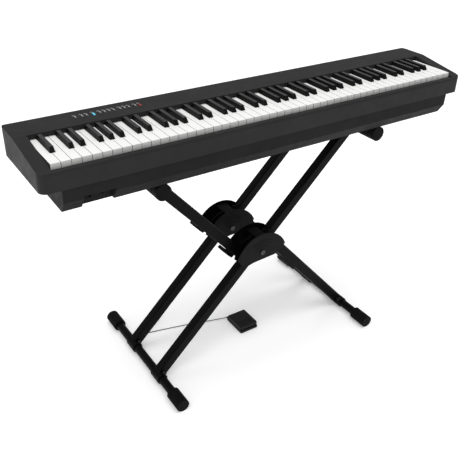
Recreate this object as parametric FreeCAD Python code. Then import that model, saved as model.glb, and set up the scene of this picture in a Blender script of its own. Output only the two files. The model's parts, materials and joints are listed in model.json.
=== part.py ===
"""Digital piano on a double X stand, with a foot pedal.

Millimetres. X runs along the keyboard (treble side positive), Y away from the player, Z up.
The origin is on the floor, under the middle of the stand.
"""
import FreeCAD, Part
import math
import os

V = FreeCAD.Vector

# ---- stand: driving sizes ----
STAND_X = 3.0               # the stand's middle, right of the piano's
LEG = 476.5                 # pivot to the axis of either bar, the same up and down
LEG_ANGLE = 42.55           # of the pivot line above the floor
OFFSET_A = 21.0             # leg A's tubes pass this far from the pivot
OFFSET_B = 45.0             # leg B's tubes pass this far from the pivot
TUBE_H = 31.0
TUBE_T = 28.0
TUBE_WALL = 1.8
TUBE_ROUND = 4.5
HUB_PITCH = 161.5           # front hub to rear hub
FRONT_TUBE_Y = -84.0        # middle of the front leg's lower tube
PLATE = 3.0                 # pivot plates
PLATE_GAP = 0.8
WELD = 0.5                  # a plate stands this far off the tubes of its layer
PLATE_B_R = 50.0
SPACER_A = (56.0, -22.0, 8.0)   # along the tube, off the pivot, radius: joins plate A to the upper tube
SPACER_B = (20.0, 38.0, 7.0)    # joins plate B to the lower tube, through the slot of plate A
SLOT_AIR = 1.0
SLOT_HALF = 48.0            # degrees each way
TUBE_INNER_END = 10.0       # the tubes stop this far before the pivot's foot point
PAD_LEN = 30.0              # weld pads between a tube and its plate
PIVOT_R = 5.0
RUNNING = 0.05              # radial clearance of a shaft that turns
CAP_R = 19.5
CAP_LEN = 60.0
CAP_RIBS = 20
CAP_END = 7.5
RIB_DEPTH = 1.0
BAR_R = 13.0
BAR_WALL = 2.0
BAR_HALF = 228.0
SADDLE_WALL = 3.5
SADDLE_LEN = 40.0
SADDLE_SHIFT = 9.0          # the saddle reaches further to the front, for its bolt
BOLT_R = 4.0
BOLT_HEAD_R = 6.5
BOLT_HEAD_H = 4.0
BOLT_TILT = 40.0            # from vertical, towards the middle of the stand
TOP_BAR_R = 12.5
SLEEVE_R = 21.7
SLEEVE_END = 7.0
SLEEVE_FRONT_Y = -159.0
SLEEVE_BACK_Y = 186.0
SLEEVE_GROOVES = 14
GROOVE = 1.2
COVER_R = 90.0
COVER_DROP = 27.0           # the cover's round centre lies below the pivot
COVER_EDGE = [(84.0, 8.0), (73.0, -7.0), (47.5, -22.0), (-31.0, -27.0), (-45.0, -31.0),
              (-62.0, -29.0), (-77.0, -19.0), (-85.0, -3.0)]    # its lower edge, from the pivot
COVER_SKIN = 3.2
COVER_AIR = 0.3
COVER_WALL_AIR = 1.0        # between the wall over the hub and the plates inside it
COVER_WALL_FROM = 78.0
COVER_WALL_TO = 103.0
COVER_GROOVES = [50.0, 60.0, 70.0]
COVER_GROOVE_W = 2.4
COVER_GROOVE_DEEP = 1.0
COVER_GROOVE_SPREAD = 32.0  # degrees each way from upright
LOBE_TO = 76.0              # plate A reaches the rim up to this angle, around its slot and spacer
TRIGGER_W = 18.0
TRIGGER_THROAT = 2.4        # gap between the trigger's far end and the tube
TRIGGER_DEEP = 9.5
STOP_FROM = 102.0           # the block under leg B's lower tube
STOP_TO = 170.0
STOP_H = 9.0
TRIGGER_PIN_R = 2.5
CHEEK = 2.5

# ---- piano: driving sizes ----
KEY_PITCH = 23.55
WHITES = 52
WIDTH = 1292.0
DEPTH = 246.0
FRONT_Y = -180.5
TUB_H = 62.0
UPPER_H = 71.3              # from the seam to the panel
RAIL_H = 46.0               # from the seam to the front rail's top
CHEEK_FRONT_H = 48.5
WALL = 3.0
CORNER_R = 18.0
TUB_INSET = 47.0
TUB_SETBACK = 2.0
TUB_CHAMFER_H = 28.5
TUB_CHAMFER_Y = 20.0
REST_GAP = 0.3
KEY_FRONT_Y = -161.5
KEY_GAP = 0.9
KEY_TOP_H = 58.0            # above the seam
KEY_BODY = 12.8
KEY_FACE = 20.8             # height of a white key's front face
KEY_FACE_T = 3.0
HEAD_LEN = 50.0             # white key's full-width part
OPENING_BACK_Y = -25.5
SIDE_GAP = 1.7              # between the end keys and the cheeks
BLACK_W = 11.5
BLACK_TOP_W = 9.5
BLACK_H = 12.0
BLACK_SLOPE = 6.0
BLACK_GAP = 0.8
LIP_H = 9.5                 # panel's front lip
PIVOT_Y = 38.0
RIDGE_R = 3.0
LOOSE = 0.3                 # clearance of a moving key on its ridge
KEY_END_Y = 46.0
BUTTON_W = 4.6
BUTTON_L = 15.0
BUTTON_PROUD = 1.2
BUTTON_Y = 18.5
BUTTON_X0 = -481.5
BUTTON_PITCH = 11.8
BUTTON_GROUP_GAP = 17.0
BUTTON_GROUPS = [1, 2, 1, 4, 3, 2]
BUTTON_FLANGE = 1.2
JACK_X0 = -552.0
JACK_X1 = -475.0
JACK_H = 34.0
JACK_BACK_Y = -148.0
JACK_BODY = 20.0
JACK_WALL = 3.0
PHONE_R = 3.25              # 6.35 mm socket
MINI_R = 1.8                # 3.5 mm socket
COLLAR = 3.0

# ---- pedal: driving sizes ----
PEDAL_X = 9.0
PEDAL_FRONT_Y = -48.0
PEDAL_W = 66.0
PEDAL_L = 84.0
SOLE_T = 2.0
BASE_T = 7.0
TREAD_TOP = 21.5
TREAD_GAP = 3.2
TREAD_SKIN = 2.4
TREAD_SET = 3.0             # the tread stands back from the base's front edge
PEDAL_PIN_R = 2.0
PEDAL_PIN_BACK = 12.0
PEDAL_PIN_UP = 6.4
POST_HALF = 4.5
PEDAL_GROOVES = 4

# ---- cord ----
CORD_D = 3.2
CORD_ROUTE = [
    (-21.8, 41.6, 6.4), (-66.0, 57.7, 2.6), (-112.0, 74.0, 1.7), (-156.0, 85.6, 1.7), (-198.0, 96.3, 1.7),
    (-234.0, 105.2, 1.7), (-262.5, 111.3, 1.7), (-281.0, 115.9, 1.7), (-288.2, 127.1, 1.7),
    (-288.0, 143.4, 1.7), (-278.3, 150.4, 1.7), (-268.5, 157.4, 1.7),
]
HANK_L = 91.8
HANK_W = 29.8
HANK_H = 13.2
HANK_START = (-270.6, 139.7)
HANK_TURN = 35.7
TIE_T = 0.8
TIE_W = 6.0
PLUG_R = 6.0
PLUG_BODY = 38.0
PLUG_PIN_R = 3.15
PLUG_PIN = 30.0
PLUG_GAP = 10.0
PLUG_SIDE = 8.0             # the plug's axis lies this far off the hank's

# ---- worked out from the sizes above ----
LEAN = math.radians(LEG_ANGLE)
HALF_SPAN = LEG * math.cos(LEAN)
PLATE_A_R = COVER_DROP + PLATE_B_R
COVER_WALL_R = PLATE_A_R + COVER_WALL_AIR + COVER_SKIN
PIVOT_Z = CAP_R + LEG * math.sin(LEAN)
TOP_Z = PIVOT_Z + LEG * math.sin(LEAN)
FLOOR_Z = CAP_R
NEAR_FACE = TUBE_T / 2
FAR_LAYER = TUBE_T + 2 * (WELD + PLATE) + PLATE_GAP     # lower tube's middle to upper tube's middle
TUB_Z = TOP_Z + SLEEVE_R + REST_GAP
SEAM_Z = TUB_Z + TUB_H
PANEL_Z = SEAM_Z + UPPER_H
BACK_Y = FRONT_Y + DEPTH
HALF_W = WIDTH / 2
TUB_HALF = HALF_W - TUB_INSET
KEYS_HALF = WHITES * KEY_PITCH / 2
OPEN_HALF = KEYS_HALF + SIDE_GAP
KEY_TOP = SEAM_Z + KEY_TOP_H
KEY_LOW = KEY_TOP - KEY_BODY
BED_Z = SEAM_Z + WALL
BED_T = 4.0
RAIL_Z = SEAM_Z + RAIL_H
RAIL_BACK_Y = KEY_FRONT_Y - 3.5


# ---- helpers ----
def box(x0, x1, y0, y1, z0, z1):
    return Part.makeBox(x1 - x0, y1 - y0, z1 - z0, V(x0, y0, z0))


def cylinder(radius, start, direction, length):
    return Part.makeCylinder(radius, length, V(*start), V(*direction))


def along_y(radius, x, z, y0, y1):
    return cylinder(radius, (x, y0, z), (0, 1, 0), y1 - y0)


def prism(points, move):
    """A closed outline of 3-D points, extruded by the vector move."""
    wire = Part.makePolygon([V(*p) for p in points] + [V(*points[0])])
    return Part.Face(wire).extrude(V(*move))


def side_profile(points, x0, x1):
    """An outline of (y, z) points, extruded along X."""
    return prism([(x0, y, z) for y, z in points], (x1 - x0, 0, 0))


def front_profile(points, y0, y1):
    """An outline of (x, z) points, extruded along Y."""
    return prism([(x, y0, z) for x, z in points], (0, y1 - y0, 0))


def plan(points, z0, z1):
    return prism([(x, y, z0) for x, y in points], (0, 0, z1 - z0))


def edges_along(shape, axis):
    """Straight edges of shape that run along axis."""
    found = []
    for edge in shape.Edges:
        ends = edge.Vertexes
        if len(ends) == 2 and edge.Curve.TypeId == "Part::GeomLine":
            way = ends[1].Point.sub(ends[0].Point).normalize()
            if abs(way.dot(axis)) > 0.9999:
                found.append(edge)
    return found


def rounded_block(x0, x1, y0, y1, z0, z1, radius, axis=V(0, 0, 1)):
    block = box(x0, x1, y0, y1, z0, z1)
    return block.makeFillet(radius, edges_along(block, axis))


def fused(shapes):
    whole = shapes[0].multiFuse(shapes[1:]) if len(shapes) > 1 else shapes[0]
    return whole.removeSplitter()


def cut(shape, tools):
    return shape.cut(tools if isinstance(tools, list) else [tools])


def mirror_x(shape):
    return shape.mirror(V(0, 0, 0), V(1, 0, 0))


def export(name, shapes):
    shapes = shapes if isinstance(shapes, list) else [shapes]
    solids = [solid for shape in shapes for solid in shape.Solids]
    shape = solids[0] if len(solids) == 1 else Part.makeCompound(solids)
    shape.exportStep("parts/" + name + ".step")
    return shape


# ---- stand ----
def tube(length, grow=0.0, wall=None):
    """A leg tube from the origin along +X, rounded on its long edges."""
    height = TUBE_H / 2 + grow
    half = TUBE_T / 2 + grow
    outer = rounded_block(0, length, -half, half, -height, height, TUBE_ROUND, V(1, 0, 0))
    if wall is None:
        return outer
    inner = rounded_block(0, length - wall, -half + wall, half - wall, -height + wall, height - wall,
                          TUBE_ROUND - wall, V(1, 0, 0))
    return outer.cut(inner)


def tube_angle(offset):
    """Angle above the floor of a leg's tubes that pass offset from the pivot and meet both bars."""
    return LEAN + math.asin(offset / LEG)


def reach(offset):
    """From the pivot's foot point on a tube line to the bar's axis, along the tube."""
    return LEG * math.cos(math.asin(offset / LEG))


def lay_on_leg(shape, layer_y, offset, side):
    """Turns a shape along +X onto a leg's lower (side 1) or upper (side -1) tube line, at layer_y."""
    shape = shape.copy()
    shape.translate(V(0, 0, side * offset))
    shape.rotate(V(0, 0, 0), V(0, 1, 0), -math.degrees(tube_angle(offset)))
    shape.translate(V(0, layer_y, PIVOT_Z))
    return shape


def lower_tube(layer_y, offset, grow=0.0, wall=None):
    pipe = tube(reach(offset) - TUBE_INNER_END, grow, wall)
    pipe.translate(V(-reach(offset), 0, 0))
    return lay_on_leg(pipe, layer_y, offset, 1)


def upper_tube(layer_y, offset, grow=0.0, wall=None):
    pipe = tube(reach(offset) - TUBE_INNER_END, grow, wall)
    pipe.rotate(V(0, 0, 0), V(0, 0, 1), 180)
    pipe.translate(V(reach(offset), 0, 0))
    return lay_on_leg(pipe, layer_y, offset, -1)


def floor_bar_axis_cylinder(radius):
    return along_y(radius, -HALF_SPAN, FLOOR_Z, -BAR_HALF, BAR_HALF)


def top_bar_axis_cylinder(radius):
    return along_y(radius, HALF_SPAN, TOP_Z, SLEEVE_FRONT_Y, SLEEVE_BACK_Y)


def peg_on_tube(place, offset, y0, y1):
    """A peg along Y beside the pivot: place gives (along the tube, off the pivot, radius)."""
    along, off, radius = place
    angle = tube_angle(offset)
    x = along * math.cos(angle) - off * math.sin(angle)
    z = along * math.sin(angle) + off * math.cos(angle)
    return along_y(radius, x, PIVOT_Z + z, y0, y1)


def sector(start, end, y0, y1, z=None):
    """A wedge between two angles in degrees, its tip on the pivot's plumb line at height z."""
    z = PIVOT_Z if z is None else z
    fan = [(0, z)]
    for step in range(3):
        angle = math.radians(start + (end - start) * step / 2)
        fan.append((4 * COVER_R * math.cos(angle), z + 4 * COVER_R * math.sin(angle)))
    return front_profile(fan, y0, y1)


def half_moon(radius, y0, y1):
    """A disc about the cover's round centre, trimmed to the cover's lower edge."""
    disc = along_y(radius, 0, PIVOT_Z - COVER_DROP, y0, y1)
    edge = [(x, PIVOT_Z + z) for x, z in COVER_EDGE]
    edge += [(-2 * COVER_R, PIVOT_Z + 2 * COVER_R), (2 * COVER_R, PIVOT_Z + 2 * COVER_R)]
    return disc.common(front_profile(edge, y0, y1))


def ring(radius, width, z, y0, y1):
    return along_y(radius, 0, z, y0, y1).cut(along_y(radius - width, 0, z, y0, y1))


def spacer_slot(y0, y1):
    """The arc slot in plate A that leg B's spacer runs along."""
    along, off, radius = SPACER_B
    middle = math.hypot(along, off)
    room = radius + SLOT_AIR
    rest = math.degrees(math.atan2(off, along) - tube_angle(OFFSET_B))
    band = ring(middle + room, 2 * room, PIVOT_Z, y0, y1)
    return band.common(sector(rest - SLOT_HALF, rest + SLOT_HALF, y0, y1))


def leg_a(first_y):
    """Leg A: lower tube in the front layer, upper tube in the back layer, one welded piece."""
    plate_y = first_y + NEAR_FACE + WELD
    plate_back = plate_y + PLATE
    upper_y = first_y + FAR_LAYER
    rim = COVER_R - COVER_SKIN - COVER_AIR
    lobe = half_moon(rim, plate_y, plate_back).common(
        sector(0, LOBE_TO, plate_y, plate_back, PIVOT_Z - COVER_DROP))
    plate = fused([half_moon(PLATE_A_R, plate_y, plate_back), lobe])
    plate = cut(plate, [spacer_slot(plate_y, plate_back)])
    pad = box(-TUBE_INNER_END - PAD_LEN, -TUBE_INNER_END, 0, WELD, -TUBE_H / 3, TUBE_H / 3)
    pad = lay_on_leg(pad, first_y + NEAR_FACE, OFFSET_A, 1)
    peg = peg_on_tube(SPACER_A, OFFSET_A, plate_back, upper_y - NEAR_FACE)
    lower = lower_tube(first_y, OFFSET_A, wall=TUBE_WALL)
    upper = upper_tube(upper_y, OFFSET_A, wall=TUBE_WALL)
    leg = fused([plate, pad, peg, lower, upper])
    bore = along_y(PIVOT_R, 0, PIVOT_Z, plate_y - 1, plate_back + 1)
    return cut(leg, [bore, floor_bar_axis_cylinder(BAR_R + SADDLE_WALL), top_bar_axis_cylinder(TOP_BAR_R)])


TRIGGER_PIVOT = (51.0, -TUBE_H / 2 - 6.0)     # along leg B's upper tube, off its middle line


def trigger_outline():
    """(along the tube, off its middle line) of the release trigger, as drawn on leg A's side."""
    under = -TUBE_H / 2
    far = TRIGGER_PIVOT[0] + 47
    near = TRIGGER_PIVOT[0] - 7
    low = under - TRIGGER_THROAT - TRIGGER_DEEP
    return [(far, under - TRIGGER_THROAT), (far, low + 1), (far - 3, low), (near + 9, low), (near, under - 8.5),
            (near + 1, under - 2.0), (near + 8, under - 0.8)]


def on_leg_b(shape):
    """Mirrors a piece that was laid on leg A's side over to leg B's."""
    return mirror_x(shape)


def leg_b(first_y):
    """Leg B mirrors leg A: lower tube in the front layer, upper tube in the back layer."""
    upper_y = first_y + FAR_LAYER
    plate_back = upper_y - NEAR_FACE - WELD
    plate_y = plate_back - PLATE
    plate = along_y(PLATE_B_R, 0, PIVOT_Z, plate_y, plate_back)
    pad = box(TUBE_INNER_END, TUBE_INNER_END + PAD_LEN / 2, 0, WELD, 0, TUBE_H / 2 - TUBE_ROUND)
    pad = lay_on_leg(pad, plate_back, OFFSET_B, -1)
    along, off, radius = SPACER_B
    peg = peg_on_tube((-along, off, radius), OFFSET_B, first_y + NEAR_FACE, plate_y)
    lower = lower_tube(first_y, OFFSET_B, wall=TUBE_WALL)
    upper = upper_tube(upper_y, OFFSET_B, wall=TUBE_WALL)
    parts = [plate, pad, peg, lower, upper]
    under = -TUBE_H / 2
    pin_along, pin_off = TRIGGER_PIVOT
    lug = [(pin_along - 8, under + 1), (pin_along - 8, pin_off), (pin_along - 5, pin_off - 5),
           (pin_along + 5, pin_off - 5), (pin_along + 8, pin_off), (pin_along + 8, under + 1)]
    for side in (-1, 1):
        middle = upper_y + side * (TRIGGER_W / 2 + LOOSE + CHEEK / 2)
        cheek = front_profile(lug, -CHEEK / 2, CHEEK / 2)
        parts.append(lay_on_leg(cheek, middle, OFFSET_B, -1))
    pin = along_y(TRIGGER_PIN_R, pin_along, pin_off, -TRIGGER_W / 2 - 1, TRIGGER_W / 2 + 1)
    parts.append(lay_on_leg(pin, upper_y, OFFSET_B, -1))
    stop = front_profile([(-STOP_TO, under + 1), (-STOP_TO, under - STOP_H), (-STOP_FROM - STOP_H, under - STOP_H),
                          (-STOP_FROM, under + 1)], -TUBE_T / 2 + 2, TUBE_T / 2 - 2)
    parts.append(lay_on_leg(stop, first_y, OFFSET_B, 1))
    leg = fused(parts)
    bore = along_y(PIVOT_R + RUNNING, 0, PIVOT_Z, plate_y - 1, plate_back + 1)
    leg = cut(leg, [bore, floor_bar_axis_cylinder(BAR_R + SADDLE_WALL), top_bar_axis_cylinder(TOP_BAR_R)])
    return on_leg_b(leg)


def release_trigger(first_y):
    lever = front_profile(trigger_outline(), -TRIGGER_W / 2, TRIGGER_W / 2)
    hole = along_y(TRIGGER_PIN_R + RUNNING, TRIGGER_PIVOT[0], TRIGGER_PIVOT[1], -TRIGGER_W, TRIGGER_W)
    return on_leg_b(lay_on_leg(lever.cut(hole), first_y + FAR_LAYER, OFFSET_B, -1))


def hub_cover(first_y):
    """Half-moon cover on leg A: two faces joined by a wall over the top."""
    front = first_y - NEAR_FACE - COVER_AIR - COVER_SKIN
    back = first_y + FAR_LAYER + NEAR_FACE + COVER_AIR + COVER_SKIN
    centre = PIVOT_Z - COVER_DROP
    shape = half_moon(COVER_R, front, back)
    inside = box(-COVER_R - 1, COVER_R + 1, front + COVER_SKIN, back - COVER_SKIN,
                 PIVOT_Z - COVER_R, PIVOT_Z + COVER_R)
    pad = box(-TUBE_INNER_END - PAD_LEN, -TUBE_INNER_END - 6, front + COVER_SKIN,
              front + COVER_SKIN + COVER_AIR, -TUBE_H / 3, TUBE_H / 3)
    pad = lay_on_leg(pad, 0, OFFSET_A, 1)
    wall = ring(COVER_WALL_R, COVER_SKIN, centre, front, back).common(
        sector(COVER_WALL_FROM, COVER_WALL_TO, front, back, centre))
    grooves = []
    upright = sector(90 - COVER_GROOVE_SPREAD, 90 + COVER_GROOVE_SPREAD, front - 1, front + COVER_GROOVE_DEEP,
                     centre)
    for radius in COVER_GROOVES:
        band = ring(radius, COVER_GROOVE_W, centre, front - 1, front + COVER_GROOVE_DEEP)
        grooves.append(band.common(upright))
    shape = fused([shape.cut(inside), wall, pad])
    bore = along_y(PIVOT_R, 0, PIVOT_Z, front - 1, back + 1)
    room = [upper_tube(first_y + FAR_LAYER, OFFSET_A, grow=COVER_AIR), bore]
    return cut(shape, room + grooves)


def pivot_bolt(first_y):
    front = first_y - NEAR_FACE - COVER_AIR - COVER_SKIN
    back = first_y + FAR_LAYER + NEAR_FACE + COVER_AIR + COVER_SKIN
    shaft = along_y(PIVOT_R, 0, PIVOT_Z, front, back)
    head = along_y(PIVOT_R + 3, 0, PIVOT_Z, front - 3, front)
    nut = along_y(PIVOT_R + 3, 0, PIVOT_Z, back, back + 4)
    return fused([shaft, head, nut])


def floor_bar():
    bolts = [foot_bolt(FRONT_TUBE_Y), foot_bolt(FRONT_TUBE_Y + HUB_PITCH)]
    return cut(floor_bar_axis_cylinder(BAR_R), [floor_bar_axis_cylinder(BAR_R - BAR_WALL)] + bolts)


def ribbed_disc(radius, x, z, y0, y1):
    """A cylinder along Y with square ribs along its length."""
    points = []
    step = 2 * math.pi / CAP_RIBS
    for rib in range(CAP_RIBS):
        start = -math.pi / 2 + (rib - 0.25) * step
        for part, reach in ((0.0, radius), (0.25, radius), (0.5, radius),
                            (0.55, radius - RIB_DEPTH), (0.95, radius - RIB_DEPTH)):
            angle = start + part * step
            points.append((x + reach * math.cos(angle), z + reach * math.sin(angle)))
    return front_profile(points, y0, y1)


def floor_caps():
    """The two rubber caps of the left floor bar."""
    caps = []
    for side in (-1, 1):
        outer = side * (BAR_HALF + CAP_END)
        inner = side * (BAR_HALF + CAP_END - CAP_LEN)
        caps.append(ribbed_disc(CAP_R, -HALF_SPAN, FLOOR_Z, min(outer, inner), max(outer, inner)).cut(
            floor_bar_axis_cylinder(BAR_R)))
    return caps


def bolt_axis():
    tilt = math.radians(BOLT_TILT)
    return (math.sin(tilt), 0.0, math.cos(tilt))


def foot_bolt(leg_y):
    way = bolt_axis()
    y = leg_y - NEAR_FACE - BOLT_HEAD_R
    inner = BAR_R - BAR_WALL
    outer = BAR_R + SADDLE_WALL
    base = (-HALF_SPAN + inner * way[0], y, FLOOR_Z + inner * way[2])
    seat = (-HALF_SPAN + outer * way[0], y, FLOOR_Z + outer * way[2])
    return fused([cylinder(BOLT_R, base, way, outer - inner + 1), cylinder(BOLT_HEAD_R, seat, way, BOLT_HEAD_H)])


def foot_saddle(leg_y):
    y0 = leg_y - SADDLE_LEN / 2 - SADDLE_SHIFT
    y1 = leg_y + SADDLE_LEN / 2 - SADDLE_SHIFT + 5
    sleeve = along_y(BAR_R + SADDLE_WALL, -HALF_SPAN, FLOOR_Z, y0, y1)
    return cut(sleeve, [floor_bar_axis_cylinder(BAR_R), foot_bolt(leg_y)])


def top_bar():
    y0 = SLEEVE_FRONT_Y + SLEEVE_END
    y1 = SLEEVE_BACK_Y - SLEEVE_END
    return along_y(TOP_BAR_R, HALF_SPAN, TOP_Z, y0, y1).cut(
        along_y(TOP_BAR_R - BAR_WALL, HALF_SPAN, TOP_Z, y0, y1))


def top_sleeve(offset):
    """The right sleeve: a rubber tube closed at both ends, notched where a leg's tubes meet the bar."""
    body = along_y(SLEEVE_R, HALF_SPAN, TOP_Z, SLEEVE_FRONT_Y, SLEEVE_BACK_Y)
    hollow = along_y(TOP_BAR_R, HALF_SPAN, TOP_Z, SLEEVE_FRONT_Y + SLEEVE_END, SLEEVE_BACK_Y - SLEEVE_END)
    tools = [hollow]
    for first_y in (FRONT_TUBE_Y, FRONT_TUBE_Y + HUB_PITCH):
        tools.append(upper_tube(first_y + FAR_LAYER, offset, grow=1.0))
    step = (SLEEVE_BACK_Y - SLEEVE_FRONT_Y) / (SLEEVE_GROOVES + 1)
    for groove in range(1, SLEEVE_GROOVES + 1):
        y = SLEEVE_FRONT_Y + groove * step
        band = along_y(SLEEVE_R + 1, HALF_SPAN, TOP_Z, y - GROOVE, y + GROOVE)
        tools.append(band.cut(along_y(SLEEVE_R - GROOVE, HALF_SPAN, TOP_Z, y - GROOVE, y + GROOVE)))
    return cut(body, tools)


def export_stand(name, shapes):
    """Moves stand pieces from the stand's own middle to where it stands, and writes them."""
    shapes = shapes if isinstance(shapes, list) else [shapes]
    export(name, [shape.translated(V(STAND_X, 0, 0)) for shape in shapes])


def make_stand():
    fronts = [FRONT_TUBE_Y, FRONT_TUBE_Y + HUB_PITCH]
    for name, y in zip(("front", "rear"), fronts):
        export_stand("leg_a_" + name, leg_a(y))
        export_stand("leg_b_" + name, leg_b(y))
        export_stand("hub_cover_" + name, hub_cover(y))
        export_stand("release_trigger_" + name, release_trigger(y))
    export_stand("pivot_bolts", [pivot_bolt(y) for y in fronts])
    pieces = {
        "floor_bar": [floor_bar()],
        "floor_caps": floor_caps(),
        "foot_saddles": [foot_saddle(y) for y in fronts],
        "foot_bolts": [foot_bolt(y) for y in fronts],
    }
    for name, solids in pieces.items():
        export_stand(name + "_left", solids)
        export_stand(name + "_right", [mirror_x(solid) for solid in solids])
    export_stand("top_bar_right", top_bar())
    export_stand("top_bar_left", mirror_x(top_bar()))
    export_stand("top_sleeve_right", top_sleeve(OFFSET_A))
    export_stand("top_sleeve_left", mirror_x(top_sleeve(OFFSET_B)))


# ---- piano ----
def upper_outline(inset):
    """(y, z) outline of the upper body, inset by a wall."""
    slope_top = PANEL_Z - inset
    front_top = SEAM_Z + CHEEK_FRONT_H - inset
    front = FRONT_Y + inset
    back = BACK_Y - inset
    round_off = 5.0
    low = SEAM_Z + inset
    return [(front, low), (front, front_top - 2 * round_off), (front + round_off * 0.5, front_top - round_off * 0.6),
            (front + 2 * round_off, front_top), (OPENING_BACK_Y, slope_top), (back - round_off, slope_top),
            (back, slope_top - round_off), (back, low)]


def button_places():
    places = []
    x = BUTTON_X0
    for count in BUTTON_GROUPS:
        for _ in range(count):
            places.append(x)
            x += BUTTON_PITCH
        x += BUTTON_GROUP_GAP - BUTTON_PITCH
    return places


def capsule(x, grow, z0, z1):
    """A slot-shaped column, long side along Y, around (x, BUTTON_Y)."""
    radius = BUTTON_W / 2 + grow
    reach = (BUTTON_L - BUTTON_W) / 2
    shapes = [box(x - radius, x + radius, BUTTON_Y - reach, BUTTON_Y + reach, z0, z1)]
    for side in (-1, 1):
        shapes.append(cylinder(radius, (x, BUTTON_Y + side * reach, z0), (0, 0, 1), z1 - z0))
    return fused(shapes)


def top_case():
    body = side_profile(upper_outline(0), -HALF_W, HALF_W)
    footprint = rounded_block(-HALF_W, HALF_W, FRONT_Y, BACK_Y, SEAM_Z - 1, PANEL_Z + 1, CORNER_R)
    body = body.common(footprint)
    inner = side_profile(upper_outline(WALL), -HALF_W + WALL, HALF_W - WALL)
    inner_footprint = rounded_block(-HALF_W + WALL, HALF_W - WALL, FRONT_Y + WALL, BACK_Y - WALL,
                                    SEAM_Z - 1, PANEL_Z + 1, CORNER_R - WALL)
    inner = inner.common(inner_footprint)
    walls = [box(side * OPEN_HALF if side > 0 else -OPEN_HALF - WALL, OPEN_HALF + WALL if side > 0 else -OPEN_HALF,
                 FRONT_Y, OPENING_BACK_Y, SEAM_Z, PANEL_Z) for side in (-1, 1)]
    walls.append(box(-OPEN_HALF - WALL, OPEN_HALF + WALL, RAIL_BACK_Y - WALL, RAIL_BACK_Y, SEAM_Z, RAIL_Z))
    walls.append(box(-OPEN_HALF - WALL, OPEN_HALF + WALL, OPENING_BACK_Y, OPENING_BACK_Y + WALL,
                     PANEL_Z - LIP_H, PANEL_Z))
    hollow = cut(inner, walls)
    case = body.cut(hollow)
    opening = box(-OPEN_HALF, OPEN_HALF, RAIL_BACK_Y, OPENING_BACK_Y, BED_Z, PANEL_Z + 1)
    rail_top = box(-OPEN_HALF, OPEN_HALF, FRONT_Y - 1, RAIL_BACK_Y + 1, RAIL_Z, PANEL_Z)
    below = box(-TUB_HALF + WALL, TUB_HALF - WALL, RAIL_BACK_Y + 1, BACK_Y - 3 * WALL, SEAM_Z - 1, BED_Z + 1)
    slots = [capsule(x, LOOSE, PANEL_Z - 2 * WALL, PANEL_Z + 1) for x in button_places()]
    case = cut(case, [opening, rail_top, below] + slots)
    deck = box(-OPEN_HALF, OPEN_HALF, RAIL_BACK_Y - WALL, RAIL_BACK_Y, RAIL_Z - WALL, RAIL_Z)
    return fused([case, deck])


def tub_outline(inset):
    front = FRONT_Y + TUB_SETBACK + inset
    back = BACK_Y - TUB_SETBACK * 2 - inset
    low = TUB_Z + inset
    shoulder = TUB_Z + TUB_CHAMFER_H
    return [(front, SEAM_Z), (front + 1.5, shoulder), (front + TUB_CHAMFER_Y, low), (back, low), (back, SEAM_Z)]


def tub_outer():
    body = side_profile(tub_outline(0), -TUB_HALF, TUB_HALF)
    footprint = rounded_block(-TUB_HALF, TUB_HALF, FRONT_Y, BACK_Y, TUB_Z - 1, SEAM_Z + 1, WALL * 2)
    return body.common(footprint)


def jack_room():
    return box(JACK_X0 - JACK_WALL, JACK_X1 + JACK_WALL, FRONT_Y - 1, JACK_BACK_Y + JACK_BODY,
               TUB_Z - 1, TUB_Z + JACK_H + JACK_WALL)


def bottom_case():
    inner = side_profile(tub_outline(WALL), -TUB_HALF + WALL, TUB_HALF - WALL)
    inner = fused([inner, box(-TUB_HALF + WALL, TUB_HALF - WALL, FRONT_Y + TUB_SETBACK + 2 * WALL,
                              BACK_Y - TUB_SETBACK * 2 - WALL, SEAM_Z - WALL, SEAM_Z + 1)])
    return cut(tub_outer(), [inner, jack_room()])


def jack_places():
    """(x, radius) of the two headphone sockets."""
    span = JACK_X1 - JACK_X0
    return [(JACK_X0 + span * 0.3, PHONE_R), (JACK_X0 + span * 0.7, MINI_R)]


def jack_block():
    block = tub_outer().common(jack_room())
    pocket = box(JACK_X0, JACK_X1, FRONT_Y - 1, JACK_BACK_Y, TUB_Z - 2, TUB_Z + JACK_H)
    block = block.cut(pocket)
    z = TUB_Z + JACK_H / 2
    for x, radius in jack_places():
        block = block.fuse(along_y(radius + COLLAR, x, z, JACK_BACK_Y - COLLAR, JACK_BACK_Y))
        block = block.cut(along_y(radius, x, z, JACK_BACK_Y - COLLAR - 1, JACK_BACK_Y + JACK_BODY - WALL))
    return block.removeSplitter()


BLACK_AFTER = {"C": -1.6, "D": 1.6, "F": -2.0, "G": 0.0, "A": 2.0}    # black key's shift from the gap


def white_letters():
    letters = ["A", "B"]
    while len(letters) < WHITES:
        letters += list("CDEFGAB")
    return letters[:WHITES]


def black_centres():
    """Centre x of each black key, by the number of the white key on its left."""
    letters = white_letters()
    centres = {}
    for number in range(WHITES - 1):
        if letters[number] in BLACK_AFTER:
            gap_x = -KEYS_HALF + (number + 1) * KEY_PITCH
            centres[number] = gap_x + BLACK_AFTER[letters[number]]
    return centres


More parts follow.
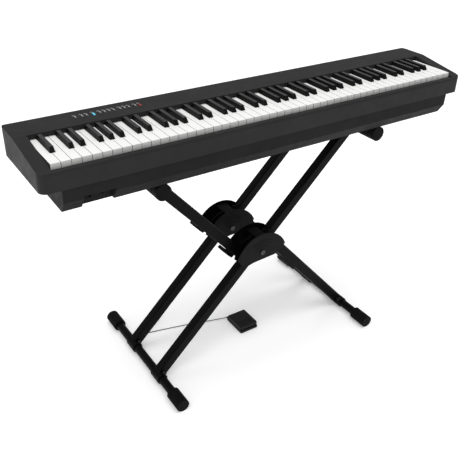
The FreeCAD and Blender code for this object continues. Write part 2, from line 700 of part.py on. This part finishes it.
def white_key(number, centres, ridge_gap):
    x0 = -KEYS_HALF + number * KEY_PITCH + KEY_GAP / 2
    x1 = x0 + KEY_PITCH - KEY_GAP
    room = BLACK_W / 2 + BLACK_GAP
    left = centres[number - 1] + room if number - 1 in centres else x0
    right = centres[number] - room if number in centres else x1
    shoulder = KEY_FRONT_Y + HEAD_LEN
    outline = [(x0, KEY_FRONT_Y), (x1, KEY_FRONT_Y), (x1, shoulder)]
    if right != x1:
        outline.append((right, shoulder))
    outline += [(right, KEY_END_Y), (left, KEY_END_Y)]
    if left != x0:
        outline.append((left, shoulder))
    outline.append((x0, shoulder))
    body = plan(outline, KEY_LOW, KEY_TOP)
    face = box(x0, x1, KEY_FRONT_Y, KEY_FRONT_Y + KEY_FACE_T, KEY_TOP - KEY_FACE, KEY_LOW)
    notch = cylinder(RIDGE_R + ridge_gap, (x0 - 1, PIVOT_Y, KEY_LOW), (1, 0, 0), KEY_PITCH + 2)
    return fused([body, face]).cut(notch)


def black_key(centre, ridge_gap):
    front = KEY_FRONT_Y + HEAD_LEN + BLACK_GAP
    back = OPENING_BACK_Y - 1.5
    half = BLACK_W / 2
    top = KEY_TOP + BLACK_H
    side = [(front, KEY_LOW), (front, KEY_TOP + 2), (front + BLACK_SLOPE, top), (back, top), (back, KEY_TOP),
            (KEY_END_Y, KEY_TOP), (KEY_END_Y, KEY_LOW)]
    body = side_profile(side, centre - half, centre + half)
    slim = BLACK_TOP_W / 2
    taper = front_profile([(centre - half, KEY_LOW - 1), (centre + half, KEY_LOW - 1),
                           (centre + half, KEY_TOP), (centre + slim, top), (centre - slim, top),
                           (centre - half, KEY_TOP)], front - 1, KEY_END_Y + 1)
    notch = cylinder(RIDGE_R + ridge_gap, (centre - half - 1, PIVOT_Y, KEY_LOW), (1, 0, 0), BLACK_W + 2)
    return body.common(taper).cut(notch)


def key_bed():
    """Plate under the keys, with the front stop and the ridge that the keys rock on."""
    plate = box(-OPEN_HALF + 1, OPEN_HALF - 1, RAIL_BACK_Y + 1.5, BACK_Y - 3 * WALL, BED_Z, BED_Z + BED_T)
    stop = box(-OPEN_HALF + 1, OPEN_HALF - 1, KEY_FRONT_Y + 25, KEY_FRONT_Y + 40, BED_Z + BED_T - 1,
               KEY_LOW - 12)
    rear = box(-OPEN_HALF + 1, OPEN_HALF - 1, PIVOT_Y - RIDGE_R, PIVOT_Y + RIDGE_R, BED_Z + BED_T - 1, KEY_LOW)
    ridge = cylinder(RIDGE_R, (-OPEN_HALF + 1, PIVOT_Y, KEY_LOW), (1, 0, 0), 2 * OPEN_HALF - 2)
    low = box(-OPEN_HALF, OPEN_HALF, PIVOT_Y - 2 * RIDGE_R, PIVOT_Y + 2 * RIDGE_R, KEY_LOW - 4, KEY_LOW)
    return fused([plate, stop, rear.cut(low), ridge.fuse(rear.common(low).cut(
        box(-OPEN_HALF, OPEN_HALF, PIVOT_Y + RIDGE_R - 1.2, PIVOT_Y + 2 * RIDGE_R, KEY_LOW - 5, KEY_LOW)).cut(
        box(-OPEN_HALF, OPEN_HALF, PIVOT_Y - 2 * RIDGE_R, PIVOT_Y - RIDGE_R + 1.2, KEY_LOW - 5, KEY_LOW)))])


MIDDLE_C = 23               # number of the white key that starts the octave that can be played


def button(x):
    column = capsule(x, 0, PANEL_Z - WALL - 4, PANEL_Z + BUTTON_PROUD)
    flange = capsule(x, BUTTON_FLANGE, PANEL_Z - WALL - LOOSE - 2, PANEL_Z - WALL - LOOSE)
    return fused([column, flange])


def make_piano():
    export("top_case", top_case())
    export("bottom_case", bottom_case())
    export("key_bed", key_bed())
    export("jack_block", jack_block())
    centres = black_centres()
    letters = white_letters()
    octave = range(MIDDLE_C, MIDDLE_C + 7)
    still_white = []
    still_black = []
    for number in range(WHITES):
        if number in octave:
            export("key_" + letters[number].lower() + "4", white_key(number, centres, LOOSE))
        else:
            still_white.append(white_key(number, centres, 0))
        if number in centres:
            if number in octave:
                export("key_" + letters[number].lower() + "_sharp4", black_key(centres[number], LOOSE))
            else:
                still_black.append(black_key(centres[number], 0))
    export("white_keys", still_white)
    export("black_keys", still_black)
    for count, x in enumerate(button_places(), 1):
        export("button_%02d" % count, button(x))


# ---- pedal ----
PEDAL_X0 = PEDAL_X - PEDAL_W / 2
PEDAL_X1 = PEDAL_X + PEDAL_W / 2
PEDAL_BACK_Y = PEDAL_FRONT_Y + PEDAL_L
PEDAL_PIN_Y = PEDAL_BACK_Y - PEDAL_PIN_BACK
PEDAL_PIN_Z = SOLE_T + BASE_T + PEDAL_PIN_UP
EAR = 4.0


def cord_way():
    """Unit vector along the cord's first run."""
    return V(*CORD_ROUTE[1]).sub(V(*CORD_ROUTE[0])).normalize()


def pedal_base():
    top = SOLE_T + BASE_T
    base = rounded_block(PEDAL_X0, PEDAL_X1, PEDAL_FRONT_Y, PEDAL_BACK_Y, SOLE_T, top, 4.0)
    inner = TREAD_SKIN + LOOSE + 1
    posts = []
    for side in (-1, 1):
        x = PEDAL_X + side * (PEDAL_W / 2 - inner - EAR / 2 - 6)
        posts.append(box(x - EAR / 2, x + EAR / 2, PEDAL_PIN_Y - POST_HALF, PEDAL_PIN_Y + POST_HALF,
                         top - 1, PEDAL_PIN_Z + PEDAL_PIN_R + 1))
    start = V(*CORD_ROUTE[0]).sub(cord_way() * 14)
    guard = Part.makeCylinder(CORD_D / 2 + 1.6, 14, start, cord_way())
    inside = box(PEDAL_X0 - 30, PEDAL_X1, PEDAL_FRONT_Y, PEDAL_BACK_Y - 2.0, 0, 40)
    guard = guard.cut(inside)
    base = fused([base, guard] + posts)
    pin = cylinder(PEDAL_PIN_R, (PEDAL_X0, PEDAL_PIN_Y, PEDAL_PIN_Z), (1, 0, 0), PEDAL_W)
    return base.cut(pin)


def pedal_pin():
    reach = PEDAL_W / 2 - 1
    return cylinder(PEDAL_PIN_R, (PEDAL_X - reach, PEDAL_PIN_Y, PEDAL_PIN_Z), (1, 0, 0), 2 * reach)


def pedal_tread():
    """Hollow tread: a cap over the base, hinged on the pin, with ribs across its top."""
    low = SOLE_T + BASE_T + TREAD_GAP
    shell = rounded_block(PEDAL_X0, PEDAL_X1, PEDAL_FRONT_Y + TREAD_SET, PEDAL_BACK_Y - 4, low, TREAD_TOP, 4.0)
    hollow = box(PEDAL_X0 + TREAD_SKIN, PEDAL_X1 - TREAD_SKIN, PEDAL_FRONT_Y + TREAD_SET + TREAD_SKIN,
                 PEDAL_BACK_Y - 4 - TREAD_SKIN, low - 1, TREAD_TOP - TREAD_SKIN)
    grooves = []
    for count in range(PEDAL_GROOVES):
        y = PEDAL_FRONT_Y + TREAD_SET + 10 + count * 6
        grooves.append(box(PEDAL_X0 + 6, PEDAL_X1 - 6, y, y + 2, TREAD_TOP - 0.8, TREAD_TOP + 1))
    hole = cylinder(PEDAL_PIN_R + RUNNING, (PEDAL_X0 - 1, PEDAL_PIN_Y, PEDAL_PIN_Z), (1, 0, 0), PEDAL_W + 2)
    return cut(shell, [hollow, hole] + grooves)


def pedal_sole():
    return rounded_block(PEDAL_X0 + 3, PEDAL_X1 - 3, PEDAL_FRONT_Y + 3, PEDAL_BACK_Y - 3, 0, SOLE_T, 3.0)


def cord_tube():
    """A round cord along CORD_ROUTE: straight runs joined by the largest arcs that they allow."""
    points = [V(*p) for p in CORD_ROUTE]
    edges = []
    last = points[0]
    for before, corner, after in zip(points, points[1:], points[2:]):
        to_corner = corner.sub(before)
        from_corner = after.sub(corner)
        shorter = min(to_corner.Length, from_corner.Length)
        into = to_corner.normalize()
        out = from_corner.normalize()
        turn = into.getAngle(out)
        tangent = 0.45 * shorter
        start = corner.sub(into * tangent)
        end = corner.add(out * tangent)
        radius = tangent / math.tan(turn / 2)
        inward = out.sub(into).normalize()
        middle = corner.add(inward * (radius / math.cos(turn / 2) - radius))
        edges.append(Part.makeLine(last, start))
        edges.append(Part.Arc(start, middle, end).toShape())
        print("cord corner radius", round(radius, 1), "turn", round(math.degrees(turn), 1))
        last = end
    edges.append(Part.makeLine(last, points[-1]))
    path = Part.Wire(edges)
    ring = Part.Wire([Part.makeCircle(CORD_D / 2, points[0], points[1].sub(points[0]))])
    pipe = path.makePipeShell([ring], True, False)
    print("cord tube length", round(path.Length, 1), "volume ratio",
          round(pipe.Volume / (math.pi * CORD_D ** 2 / 4 * path.Length), 4))
    return pipe


def lay_hank(shape):
    shape = shape.copy()
    shape.rotate(V(0, 0, 0), V(0, 0, 1), HANK_TURN)
    shape.translate(V(HANK_START[0], HANK_START[1], 0))
    return shape


def cord_hank():
    hank = rounded_block(0, HANK_L, -HANK_W / 2, HANK_W / 2, 0, HANK_H, HANK_W / 2 - 1)
    return lay_hank(hank.makeFillet(2.5, [e for e in hank.Edges if abs(e.CenterOfMass.z - HANK_H) < 0.01]))


def hank_tie():
    middle = HANK_L / 2
    outer = box(middle - TIE_W / 2, middle + TIE_W / 2, -HANK_W / 2 - TIE_T, HANK_W / 2 + TIE_T, 0, HANK_H + TIE_T)
    return lay_hank(outer).cut(cord_hank())


def phone_plug():
    """Handle, collar and contact pin of a 6.35 mm plug, lying beside the hank's line."""
    handle_x = HANK_L + PLUG_GAP
    pin_x = handle_x + PLUG_BODY
    tip_x = pin_x + PLUG_PIN - 7
    body = cylinder(PLUG_R, (handle_x, PLUG_SIDE, PLUG_R), (1, 0, 0), PLUG_BODY)
    guard = cylinder(PLUG_R - 2.5, (HANK_L - PLUG_GAP, PLUG_SIDE, PLUG_R), (1, 0, 0), 2 * PLUG_GAP)
    pin = cylinder(PLUG_PIN_R, (pin_x, PLUG_SIDE, PLUG_R), (1, 0, 0), PLUG_PIN)
    groove = cylinder(PLUG_PIN_R + 1, (tip_x, PLUG_SIDE, PLUG_R), (1, 0, 0), 1.6)
    neck = cylinder(PLUG_PIN_R - 0.8, (tip_x, PLUG_SIDE, PLUG_R), (1, 0, 0), 1.6)
    return lay_hank(fused([body, guard, pin]).cut(groove.cut(neck))).cut(cord_hank())


def make_pedal():
    export("pedal_base", pedal_base())
    export("pedal_sole", pedal_sole())
    export("pedal_pin", pedal_pin())
    export("pedal_tread", pedal_tread())
    export("pedal_cord", cord_tube())
    export("cord_hank", cord_hank())
    export("hank_tie", hank_tie())
    export("phone_plug", phone_plug())


os.makedirs("parts", exist_ok=True)
make_stand()
make_piano()
make_pedal()
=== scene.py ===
import json
import math

import bpy
from mathutils import Matrix, Vector


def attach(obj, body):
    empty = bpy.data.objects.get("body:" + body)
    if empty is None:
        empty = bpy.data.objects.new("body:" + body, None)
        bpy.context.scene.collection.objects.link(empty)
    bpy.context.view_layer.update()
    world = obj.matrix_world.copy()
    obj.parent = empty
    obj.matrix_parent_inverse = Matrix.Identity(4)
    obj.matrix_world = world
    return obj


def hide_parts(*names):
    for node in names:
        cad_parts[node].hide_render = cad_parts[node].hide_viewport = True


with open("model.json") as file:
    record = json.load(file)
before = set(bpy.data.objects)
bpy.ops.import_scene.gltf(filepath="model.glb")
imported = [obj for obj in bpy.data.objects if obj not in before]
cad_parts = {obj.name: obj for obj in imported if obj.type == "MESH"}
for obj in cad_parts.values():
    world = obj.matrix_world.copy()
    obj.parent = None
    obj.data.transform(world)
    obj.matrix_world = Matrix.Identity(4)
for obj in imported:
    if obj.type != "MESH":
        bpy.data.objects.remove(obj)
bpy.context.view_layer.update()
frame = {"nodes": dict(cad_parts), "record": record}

NODES = frame["nodes"]

# ---------------------------------------------------------------- camera, light, floor
YAW = math.radians(34.24)
PITCH = math.radians(31.57)
ROLL = math.radians(1.67)
WORLD = 0.45
SUN_TOP = 2.0
SUN_SIDE = 0.25
FLOOR_GLOW = 0.24


def make_camera():
    forward = Vector((math.sin(YAW) * math.cos(PITCH), math.cos(YAW) * math.cos(PITCH), -math.sin(PITCH)))
    level = Vector((math.cos(YAW), -math.sin(YAW), 0))
    upright = level.cross(forward)
    right = level * math.cos(ROLL) + upright * math.sin(ROLL)
    up = upright * math.cos(ROLL) - level * math.sin(ROLL)
    data = bpy.data.cameras.new("camera")
    data.lens = 51.2
    data.sensor_width = 36.0
    data.clip_start = 0.05
    data.clip_end = 60.0
    camera = bpy.data.objects.new("camera", data)
    turn = Matrix((right, up, -forward)).transposed().to_4x4()
    camera.matrix_world = Matrix.Translation((-0.9867, -1.3812, 1.4080)) @ turn
    bpy.context.scene.collection.objects.link(camera)
    bpy.context.scene.camera = camera


def sun(name, rise, turn, strength, spread):
    """A distant soft light, rise degrees above the floor, coming from turn degrees round from the front."""
    data = bpy.data.lights.new(name, "SUN")
    data.energy = strength
    data.angle = math.radians(spread)
    lamp = bpy.data.objects.new(name, data)
    lamp.rotation_euler = (math.radians(90 - rise), 0, math.radians(turn))
    bpy.context.scene.collection.objects.link(lamp)


def make_studio():
    scene = bpy.context.scene
    scene.view_settings.view_transform = "Standard"
    world = bpy.data.worlds.new("studio")
    scene.world = world
    world.use_nodes = True
    world.node_tree.nodes["Background"].inputs["Color"].default_value = (1.0, 1.0, 1.0, 1.0)
    world.node_tree.nodes["Background"].inputs["Strength"].default_value = WORLD
    sun("overhead", 82, -20, SUN_TOP, 60)
    sun("front_left", 40, -62, SUN_SIDE, 50)
    mesh = bpy.data.meshes.new("floor")
    reach = 14.0
    mesh.from_pydata([(-reach, -reach, 0), (reach, -reach, 0), (reach, reach, 0), (-reach, reach, 0)], [],
                     [(0, 1, 2, 3)])
    floor = bpy.data.objects.new("floor", mesh)
    scene.collection.objects.link(floor)
    paint = bpy.data.materials.new("floor_paper")
    paint.use_nodes = True
    shader = paint.node_tree.nodes["Principled BSDF"]
    shader.inputs["Base Color"].default_value = (0.92, 0.92, 0.92, 1)
    shader.inputs["Roughness"].default_value = 0.9
    shader.inputs["Emission Color"].default_value = (1, 1, 1, 1)
    shader.inputs["Emission Strength"].default_value = FLOOR_GLOW
    mesh.materials.append(paint)


# ---------------------------------------------------------------- materials
class Paint:
    """A Principled material with helpers for its procedural detail."""

    def __init__(self, name):
        self.material = bpy.data.materials.new(name)
        self.material.use_nodes = True
        self.tree = self.material.node_tree
        self.shader = self.tree.nodes["Principled BSDF"]
        self.place = self.node("ShaderNodeTexCoord").outputs["Object"]

    def node(self, kind, **values):
        made = self.tree.nodes.new(kind)
        for key, value in values.items():
            setattr(made, key, value)
        return made

    def link(self, start, end):
        self.tree.links.new(start, end)

    def noise(self, scale, detail=3.0, rough=0.5, stretch=None):
        source = self.place
        if stretch:
            mapping = self.node("ShaderNodeMapping")
            mapping.inputs["Scale"].default_value = stretch
            self.link(source, mapping.inputs["Vector"])
            source = mapping.outputs["Vector"]
        noise = self.node("ShaderNodeTexNoise")
        noise.inputs["Scale"].default_value = scale
        noise.inputs["Detail"].default_value = detail
        noise.inputs["Roughness"].default_value = rough
        self.link(source, noise.inputs["Vector"])
        return noise.outputs["Fac"]

    def ramp(self, source, low, high, start=0.3, end=0.7):
        ramp = self.node("ShaderNodeMapRange")
        ramp.inputs["From Min"].default_value = start
        ramp.inputs["From Max"].default_value = end
        ramp.inputs["To Min"].default_value = low
        ramp.inputs["To Max"].default_value = high
        self.link(source, ramp.inputs["Value"])
        return ramp.outputs["Result"]

    def colour(self, source, dark, light, start=0.3, end=0.7):
        ramp = self.node("ShaderNodeValToRGB")
        ramp.color_ramp.elements[0].position = start
        ramp.color_ramp.elements[0].color = (*dark, 1)
        ramp.color_ramp.elements[1].position = end
        ramp.color_ramp.elements[1].color = (*light, 1)
        self.link(source, ramp.inputs["Fac"])
        self.link(ramp.outputs["Color"], self.shader.inputs["Base Color"])
        return ramp.outputs["Color"]

    def rough(self, source, low, high):
        self.link(self.ramp(source, low, high), self.shader.inputs["Roughness"])

    def bump(self, source, distance, strength=1.0, after=None):
        bump = self.node("ShaderNodeBump")
        bump.inputs["Distance"].default_value = distance
        bump.inputs["Strength"].default_value = strength
        self.link(source, bump.inputs["Height"])
        if after:
            self.link(after, bump.inputs["Normal"])
        self.link(bump.outputs["Normal"], self.shader.inputs["Normal"])
        return bump.outputs["Normal"]


def grained(name, dark, light, grain, depth, rough, specular=0.5, coat=0.0):
    """Moulded plastic, paint or rubber: fine grain, faint mottling and slightly uneven gloss."""
    paint = Paint(name)
    mottle = paint.noise(9.0, 4.0)
    paint.colour(mottle, dark, light)
    paint.rough(paint.noise(35.0, 3.0), *rough)
    paint.bump(paint.noise(grain, 2.0, 0.6), depth, 0.6)
    paint.shader.inputs["Specular IOR Level"].default_value = specular
    paint.shader.inputs["Coat Weight"].default_value = coat
    return paint.material


def grey(value):
    return (value, value, value * 1.02)


def make_materials():
    paints = {
        "case": grained("case_satin", grey(0.0175), grey(0.0215), 1800, 0.00012, (0.52, 0.62), 0.14),
        "tub": grained("tub_matte", grey(0.0105), grey(0.0140), 1500, 0.00015, (0.58, 0.70), 0.10),
        "ivory": grained("key_white", (0.90, 0.90, 0.89), (0.92, 0.92, 0.91), 900, 0.00001, (0.30, 0.36)),
        # painted shade: the white key sides get a dark grey copy of the key plastic, for the shade between the keys
        "ivory_side": grained("key_white_side", (0.05, 0.05, 0.05), (0.07, 0.07, 0.07), 900, 0.00003, (0.5, 0.6)),
        # painted shade: the white key fronts get a greyer copy of the key plastic, for the lesser light on these
        # upright faces
        "ivory_painted_front_shade": grained("key_white_painted_front_shade", (0.60, 0.60, 0.59), (0.66, 0.66, 0.65), 900, 0.00003, (0.4, 0.5)),
        "ebony": grained("key_black", grey(0.0150), grey(0.0200), 1400, 0.00006, (0.30, 0.40), 0.35),
        # painted shade: the black key sides and fronts get a darker copy of the key plastic than the tops
        "ebony_side": grained("key_black_side", grey(0.0035), grey(0.0055), 1400, 0.00006, (0.44, 0.54), 0.10),
        "button": grained("button_grey", grey(0.05), grey(0.065), 1200, 0.00004, (0.35, 0.45)),
        "button_red": grained("button_red", (0.30, 0.02, 0.018), (0.38, 0.03, 0.025), 1200, 0.00004, (0.35, 0.45)),
        "button_lit": grained("button_lit", (0.08, 0.4, 0.5), (0.1, 0.45, 0.55), 1200, 0.00004, (0.3, 0.4)),
        # pale paint for the printed marks, also used as a painted highlight on the button tips
        "mark": grained("pale_print_and_highlight", grey(0.42), grey(0.5), 2000, 0.00001, (0.5, 0.6)),
        "steel": grained("stand_coat", grey(0.0012), grey(0.0022), 2400, 0.00008, (0.40, 0.48), 0.08),
        "bolt": grained("bolt_black", grey(0.010), grey(0.020), 1500, 0.00005, (0.25, 0.35)),
        "rubber": grained("rubber", grey(0.0030), grey(0.0050), 1600, 0.00018, (0.66, 0.78), 0.10),
        "hub": grained("hub_plastic", grey(0.0034), grey(0.0050), 1700, 0.00014, (0.46, 0.56), 0.10),
        # painted shade: near-black paint for the hub cover's inner wall, where shade falls between the cover's skins
        "hub_painted_shade": grained("hub_painted_shade", grey(0.0006), grey(0.0010), 1700, 0.00014, (0.6, 0.7), 0.1),
        "pedal": grained("pedal_plastic", grey(0.0045), grey(0.0070), 1700, 0.00012, (0.44, 0.54), 0.20),
        "cord": grained("cord_grey", grey(0.16), grey(0.20), 2500, 0.00005, (0.42, 0.52)),
    }
    glow = paints["button_lit"].node_tree.nodes["Principled BSDF"]
    glow.inputs["Emission Color"].default_value = (0.10, 0.72, 0.95, 1)
    glow.inputs["Emission Strength"].default_value = 0.3
    return paints


def extent(obj):
    """Lowest and highest corner of an object's box."""
    corners = [obj.matrix_world @ Vector(corner) for corner in obj.bound_box]
    low = [min(corner[axis] for corner in corners) for axis in range(3)]
    high = [max(corner[axis] for corner in corners) for axis in range(3)]
    return low, high


COVER_SKIN = 0.0030


def paint_nodes(paints):
    slots = {part["node"]: part["material_slot"] for part in frame["record"]["subparts"]}
    for name, obj in NODES.items():
        obj.data.materials.clear()
        obj.data.materials.append(paints[slots[name]])
        # painted shade: sideways key faces take the darker shade copy (side), and key fronts a greyer shade copy
        # (front)
        if slots[name] in ("ivory", "ebony"):
            side = paints[slots[name] + "_side"]
            front = paints["ivory_painted_front_shade"] if slots[name] == "ivory" else side
            obj.data.materials.append(side)
            obj.data.materials.append(front)
            to_world = obj.matrix_world.to_3x3()
            for face in obj.data.polygons:
                normal = to_world @ face.normal
                face.material_index = 1 if abs(normal.x) > 0.7 else 2 if normal.y < -0.6 else 0
        # painted shade: the hub cover faces between its two skins take the near-black shade paint
        if name.startswith("hub_cover"):
            obj.data.materials.append(paints["hub_painted_shade"])
            low, high = extent(obj)
            for face in obj.data.polygons:
                y = (obj.matrix_world @ face.center).y
                face.material_index = 1 if low[1] + COVER_SKIN < y < high[1] - COVER_SKIN else 0


# ---------------------------------------------------------------- edges of the moulded and cut pieces
BEVELS = {"white_keys": 0.0007, "black_keys": 0.0009, "top_case": 0.0012, "bottom_case": 0.0010, "jack_block": 0.0005,
          "pedal_tread": 0.0008, "pedal_base": 0.0006, "hub_cover_front": 0.0010, "hub_cover_rear": 0.0010,
          "release_trigger_front": 0.0010, "release_trigger_rear": 0.0010, "pivot_bolts": 0.0008,
          "foot_bolts_left": 0.0006, "foot_bolts_right": 0.0006, "foot_saddles_left": 0.0006,
          "foot_saddles_right": 0.0006, "phone_plug": 0.0006, "hank_tie": 0.0003,
          "top_sleeve_left": 0.0005, "top_sleeve_right": 0.0005, "floor_caps_left": 0.0004,
          "floor_caps_right": 0.0004}


def soften(obj, width):
    """Welds the mesh, rounds its sharp edges and shades the flats as flat."""
    weld = obj.modifiers.new("weld", "WELD")
    weld.merge_threshold = 0.00001
    bevel = obj.modifiers.new("bevel", "BEVEL")
    bevel.width = width
    bevel.segments = 2
    bevel.limit_method = "ANGLE"
    bevel.angle_limit = math.radians(40)
    normals = obj.modifiers.new("normals", "WEIGHTED_NORMAL")
    normals.keep_sharp = True


def soften_nodes():
    for name, obj in NODES.items():
        if name in BEVELS:
            soften(obj, BEVELS[name])
        elif name.startswith("key_") and name != "key_bed":
            soften(obj, BEVELS["black_keys"] if "sharp" in name else BEVELS["white_keys"])
        elif name.startswith("button_"):
            soften(obj, 0.0004)


# ---------------------------------------------------------------- added pieces
def mesh_piece(name, verts, faces, paint, slot, body):
    mesh = bpy.data.meshes.new(name)
    mesh.from_pydata(verts, [], faces)
    mesh.materials.append(paint)
    obj = bpy.data.objects.new(name, mesh)
    bpy.context.scene.collection.objects.link(obj)
    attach(obj, body)
    return obj


def disc_verts(centre, axis, radius, start, end, sides, taper=0.0):
    """Closed cylinder with a slightly smaller far end: its points and faces."""
    axis = Vector(axis).normalized()
    side = axis.orthogonal().normalized()
    other = axis.cross(side)
    verts = []
    for reach, size in ((start, radius), (end, radius - taper)):
        for step in range(sides):
            angle = 2 * math.pi * step / sides
            verts.append(Vector(centre) + axis * reach + (side * math.cos(angle) + other * math.sin(angle)) * size)
    faces = [tuple(reversed(range(sides))), tuple(range(sides, 2 * sides))]
    for step in range(sides):
        nxt = (step + 1) % sides
        faces.append((step, nxt, sides + nxt, sides + step))
    return verts, faces


def box_verts(x0, x1, y0, y1, z0, z1):
    verts = [(x, y, z) for z in (z0, z1) for y in (y0, y1) for x in (x0, x1)]
    return verts, [(0, 2, 3, 1), (4, 5, 7, 6), (0, 1, 5, 4), (2, 6, 7, 3), (0, 4, 6, 2), (1, 3, 7, 5)]


def gather(name, shapes, paint, slot, body):
    verts, faces = [], []
    for more, rows in shapes:
        base = len(verts)
        verts += more
        faces += [tuple(index + base for index in row) for row in rows]
    return mesh_piece(name, verts, faces, paint, slot, body)


def make_button_tips(paints):
    """A pale patch at the rear end of each dark button, a painted highlight, and a small printed bar behind each."""
    marks = []
    for name in sorted(NODES):
        if not name.startswith("button_"):
            continue
        low, high = extent(NODES[name])
        x = (low[0] + high[0]) / 2
        back = high[1] - 0.0012
        top = high[2]
        if name not in ("button_04", "button_13"):
            # painted highlight: a pale raised patch at each button's rear end stands in for its highlight
            shape = box_verts(x - 0.0015, x + 0.0015, back - 0.0075, back - 0.0015, top - 0.0003, top + 0.0002)
            mesh_piece("painted_highlight_" + name[-2:], *shape, paints["mark"], "button", name)
        panel = top - BUTTON_PROUD
        marks.append(box_verts(x - 0.0035, x + 0.0030, back + 0.0050, back + 0.0062, panel, panel + 0.0001))
        marks.append(box_verts(x - 0.0035, x + 0.0005, back + 0.0074, back + 0.0083, panel, panel + 0.0001))
    gather("panel_marks", marks, paints["mark"], "button", "piano")


BUTTON_PROUD = 0.0012


def make_screws(paints):
    """Recessed-looking screw heads under the tub, in a front and a back row, and on the hub covers."""
    low, high = extent(NODES["bottom_case"])
    under = []
    for x in (-0.56, -0.34, -0.11, 0.11, 0.34, 0.56):
        for y in (low[1] + 0.045, high[1] - 0.022):
            under.append(disc_verts((x, y, low[2]), (0, 0, 1), 0.0035, -0.0002, 0.0020, 20))
    gather("tub_screws", under, paints["bolt"], "bolt", "piano")
    for name in ("front", "rear"):
        low, high = extent(NODES["hub_cover_" + name])
        heads = []
        for x, z in ((-0.052, 0.030), (0.055, 0.030), (0.0, 0.062)):
            place = (0.003 + x, low[1], low[2] + 0.031 + z)
            heads.append(disc_verts(place, (0, -1, 0), 0.0036, -0.001, 0.0006, 20, 0.0006))
        gather("cover_screws_" + name, heads, paints["hub"], "hub", "frame_a")


# ---------------------------------------------------------------- cord
CORD_D = 0.0032
ROUTE = [
    (-0.0218, 0.0416, 0.0064), (-0.0660, 0.0577, 0.0026), (-0.1120, 0.0740, 0.0017),
    (-0.1560, 0.0856, 0.0017), (-0.1980, 0.0963, 0.0017), (-0.2340, 0.1052, 0.0017),
    (-0.2625, 0.1113, 0.0017), (-0.2810, 0.1159, 0.0017), (-0.2882, 0.1271, 0.0017),
    (-0.2880, 0.1434, 0.0017), (-0.2783, 0.1504, 0.0017), (-0.2685, 0.1574, 0.0017),
]
HANK_TURN = math.radians(35.7)
HANK_START = Vector((-0.2706, 0.1397, 0.0))
HANK_L = 0.0918
HANK_W = 0.0298
OUTER = 0.0132
INNER = 0.0100
LAYER = 0.00325
FOLD_STEPS = (-75, -45, -15, 15, 45, 75)


def hank_point(along, across, height):
    ca, sa = math.cos(HANK_TURN), math.sin(HANK_TURN)
    return (HANK_START.x + along * ca - across * sa, HANK_START.y + along * sa + across * ca, height)


def fold(centre, size, height, way):
    """Half a turn about (along, across) from one long side to the other; way is 1 at the far end."""
    reach = size / math.cos(math.radians(15))
    points = []
    for step in FOLD_STEPS:
        angle = math.radians(-step * way)
        points.append(hank_point(centre[0] + way * reach * math.cos(angle), centre[1] + reach * math.sin(angle), height))
    return points


def hank_points():
    """Turns of the hank, two side by side in each layer, and the last run out to the plug."""
    near = HANK_W / 2
    far = HANK_L - HANK_W / 2
    middle_x = (near + far) / 2
    sizes = [OUTER, INNER, INNER, OUTER, OUTER, INNER, INNER, OUTER]
    points = []
    for turn, (size, following) in enumerate(zip(sizes, sizes[1:])):
        height = CORD_D / 2 + 0.0001 + turn // 2 * LAYER
        next_height = CORD_D / 2 + 0.0001 + (turn + 1) // 2 * LAYER
        lead = 0.268 * size
        if turn:
            points.append(hank_point(near + lead, size, height))
        points.append(hank_point(middle_x, size, height))
        points.append(hank_point(far - lead, size, height))
        points += fold((far, 0), size, height, 1)
        points.append(hank_point(far - lead, -size, height))
        points.append(hank_point(middle_x, -size, (height + next_height) / 2))
        points.append(hank_point(near + lead, -size, next_height))
        points += fold((near, (following - size) / 2), (size + following) / 2, next_height, -1)
    top = CORD_D / 2 + 0.0001 + 3 * LAYER
    for along, across, height in ((near + 0.0035, OUTER, top), (middle_x, OUTER, top), (far - 0.004, OUTER, top),
                                  (far + 0.004, 0.0128, top - 0.0008), (HANK_L - 0.0035, 0.0102, 0.0085),
                                  (HANK_L + 0.0030, 0.0083, 0.0062), (HANK_L + 0.0090, 0.0080, 0.0060)):
        points.append(hank_point(along, across, height))
    return points


def nurbs_tube(name, points, diameter, resolution=6):
    curve = bpy.data.curves.new(name, "CURVE")
    curve.dimensions = "3D"
    curve.bevel_depth = diameter / 2
    curve.bevel_resolution = 4
    curve.resolution_u = resolution
    curve.use_fill_caps = True
    spline = curve.splines.new("NURBS")
    spline.points.add(len(points) - 1)
    for target, point in zip(spline.points, points):
        target.co = (*point, 1.0)
    spline.order_u = 3
    spline.use_endpoint_u = True
    obj = bpy.data.objects.new(name, curve)
    bpy.context.scene.collection.objects.link(obj)
    return obj


def make_cord(paints):
    cord = nurbs_tube("cord_line", ROUTE + hank_points(), CORD_D)
    cord.data.materials.append(paints["cord"])
    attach(cord, "floor_set")
    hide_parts("pedal_cord", "cord_hank")


make_camera()
make_studio()
PAINTS = make_materials()
paint_nodes(PAINTS)
soften_nodes()
make_button_tips(PAINTS)
make_screws(PAINTS)
make_cord(PAINTS)
